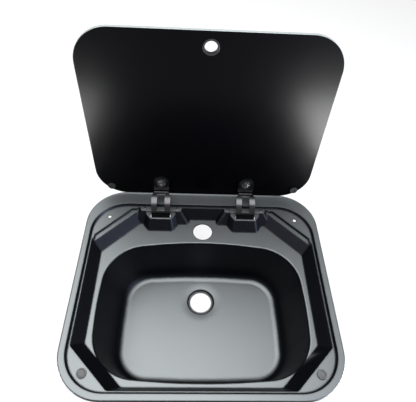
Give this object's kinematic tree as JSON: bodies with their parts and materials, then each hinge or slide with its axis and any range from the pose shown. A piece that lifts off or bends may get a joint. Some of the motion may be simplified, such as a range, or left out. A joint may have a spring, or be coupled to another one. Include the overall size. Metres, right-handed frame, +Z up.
{
  "type": "drop-in sink with hinged glass lid",
  "caption": "Shallow drop-in caravan sink pressed in black coated steel, with a black glass lid that stands open on goose-neck hinges and folds down flush into the rim.",
  "frame": {"origin": "centre of the rim's outline at the level of the worktop that the rim's seal rests on", "axes": "+X to the right, +Y to the rear where the hinges are, +Z up out of the worktop"},
  "size_m": [0.42, 0.3907, 0.4502],
  "materials": {
    "sink_coat": "satin black coating on pressed steel",
    "seal_foam": "closed-cell foam strip",
    "lid_glass": "opaque black toughened glass, polished",
    "ring_plastic": "moulded black plastic",
    "arm_coat": "satin black coating",
    "bracket_coat": "satin black coating",
    "pin_steel": "turned steel",
    "clip_steel": "spring steel",
    "rivet_coat": "satin black coating",
    "pad_rubber": "thin rubber sheet",
    "grommet_rubber": "moulded rubber",
    "bolt_coat": "black coating",
    "washer_coat": "black coating",
    "nut_coat": "black coating",
    "buffer_rubber": "moulded rubber",
    "lid_buffer_rubber": "moulded rubber"
  },
  "bodies": {
    "sink": {"sink_pressing": "sink_coat", "rim_seal": "seal_foam", "hinge_bracket_left": "bracket_coat", "hinge_bracket_right": "bracket_coat", "hinge_pin_left": "pin_steel", "hinge_pin_right": "pin_steel", "pin_clip_left": "clip_steel", "pin_clip_right": "clip_steel", "bracket_rivets_left": "rivet_coat", "bracket_rivets_right": "rivet_coat", "front_buffer_left": "buffer_rubber", "front_buffer_right": "buffer_rubber"},
    "lid": {"glass_lid": "lid_glass", "finger_ring": "ring_plastic", "hinge_arm_left": "arm_coat", "hinge_arm_right": "arm_coat", "plate_pad_left": "pad_rubber", "plate_pad_right": "pad_rubber", "bolt_grommet_left": "grommet_rubber", "bolt_grommet_right": "grommet_rubber", "plate_bolt_left": "bolt_coat", "plate_bolt_right": "bolt_coat", "plate_washer_left": "washer_coat", "plate_washer_right": "washer_coat", "plate_nut_left": "nut_coat", "plate_nut_right": "nut_coat", "lid_buffer_left": "lid_buffer_rubber", "lid_buffer_right": "lid_buffer_rubber"}
  },
  "joints": [
    {"name": "lid_hinge", "type": "hinge", "parent": "sink", "child": "lid", "pos_m": [0, 0.1646, -0.0088], "axis": [1, 0, 0], "range_deg": [0, 94.3]}
  ]
}
